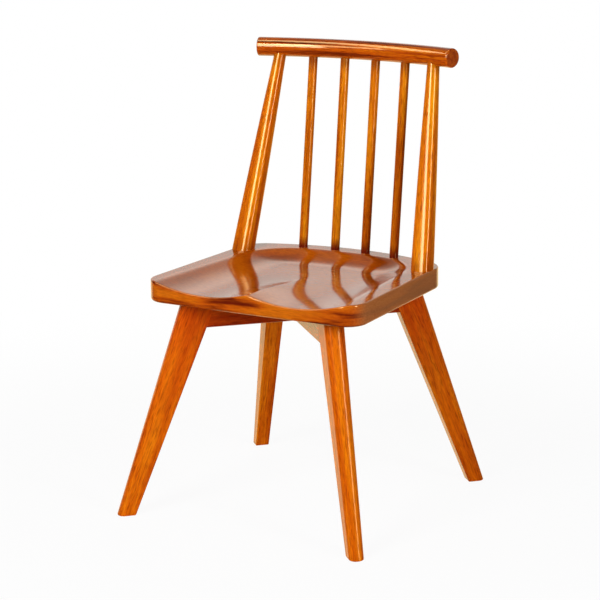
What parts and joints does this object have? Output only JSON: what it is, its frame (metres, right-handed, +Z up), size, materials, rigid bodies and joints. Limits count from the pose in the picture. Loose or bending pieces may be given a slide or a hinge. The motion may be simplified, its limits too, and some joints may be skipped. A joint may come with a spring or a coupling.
{
  "type": "dining chair",
  "caption": "Wooden spindle-back dining chair with a carved saddle seat, splayed tapering legs on crossed rails and a bowed round crest rail.",
  "frame": {"origin": "on the floor, under the crossing of the two rails that carry the seat", "axes": "+Z up, the front of the chair towards -Y, +X to the right as seen from the front"},
  "size_m": [0.5162, 0.5162, 0.8392],
  "materials": {
    "seat_wood": "amber stain under glossy lacquer",
    "rail_wood": "amber stain under glossy lacquer",
    "leg_wood": "amber stain under glossy lacquer",
    "post_wood": "amber stain under glossy lacquer",
    "spindle_wood": "amber stain under glossy lacquer",
    "crest_wood": "amber stain under glossy lacquer",
    "dowel_wood": "bare",
    "screw_steel": "zinc plated"
  },
  "bodies": {
    "root": {"seat": "seat_wood", "front_left_rail": "rail_wood", "front_right_rail": "rail_wood", "front_left_leg": "leg_wood", "front_right_leg": "leg_wood", "rear_left_leg": "leg_wood", "rear_right_leg": "leg_wood", "left_post": "post_wood", "right_post": "post_wood", "spindle_1": "spindle_wood", "spindle_2": "spindle_wood", "spindle_3": "spindle_wood", "spindle_4": "spindle_wood", "crest_rail": "crest_wood", "leg_dowels": "dowel_wood", "seat_screws": "screw_steel"}
  },
  "joints": []
}
